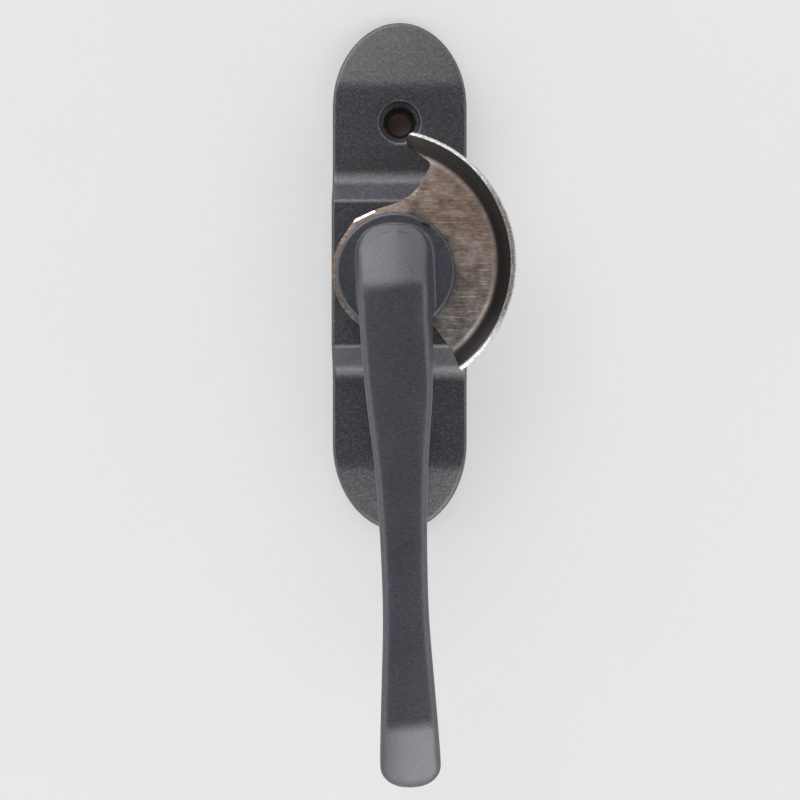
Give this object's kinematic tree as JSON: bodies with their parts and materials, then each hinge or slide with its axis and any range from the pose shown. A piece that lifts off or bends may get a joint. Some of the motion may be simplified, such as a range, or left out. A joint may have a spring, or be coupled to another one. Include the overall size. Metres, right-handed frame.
{
  "type": "crescent sash lock",
  "caption": "Crescent sash lock for a sliding window: a cranked lever turns a dished half-moon steel cam on a low die-cast base.",
  "frame": {"origin": "where the spindle's axis meets the mounting plane, on the back of the base", "axes": "+Z along the spindle's axis, out of the sash into the room; +Y along the base towards its upper sash screw; +X towards the keeper on the other sash"},
  "size_m": [0.0351, 0.1475, 0.0283],
  "materials": {
    "charcoal_coat": "satin charcoal powder coat on die-cast zinc",
    "bare_steel": "bare stamped steel, brushed, with warm tarnish",
    "turned_steel": "turned steel",
    "spring_steel": "blued spring steel",
    "zinc_plate": "bright zinc plate",
    "nylon": "natural nylon"
  },
  "bodies": {
    "base": {"base_housing": "charcoal_coat", "back_plate": "zinc_plate", "cover_screw_1": "zinc_plate", "cover_screw_2": "zinc_plate", "cover_screw_3": "zinc_plate", "cover_screw_4": "zinc_plate", "flanged_bush": "nylon", "leaf_spring_left": "spring_steel", "leaf_spring_right": "spring_steel"},
    "lever": {"crank_handle": "charcoal_coat", "crescent_cam": "bare_steel", "spindle": "turned_steel", "thrust_washer": "nylon", "wave_washer": "spring_steel", "stop_disc": "turned_steel", "detent_cam": "nylon", "plain_washer": "zinc_plate", "lock_washer": "spring_steel", "retaining_screw": "zinc_plate"}
  },
  "joints": [
    {"name": "lever_turn", "type": "hinge", "parent": "base", "child": "lever", "pos_m": [0, 0, 0.0136], "axis": [0, 0, -1], "range_deg": [0, 180], "deforming": ["leaf_spring_left", "leaf_spring_right"]}
  ]
}
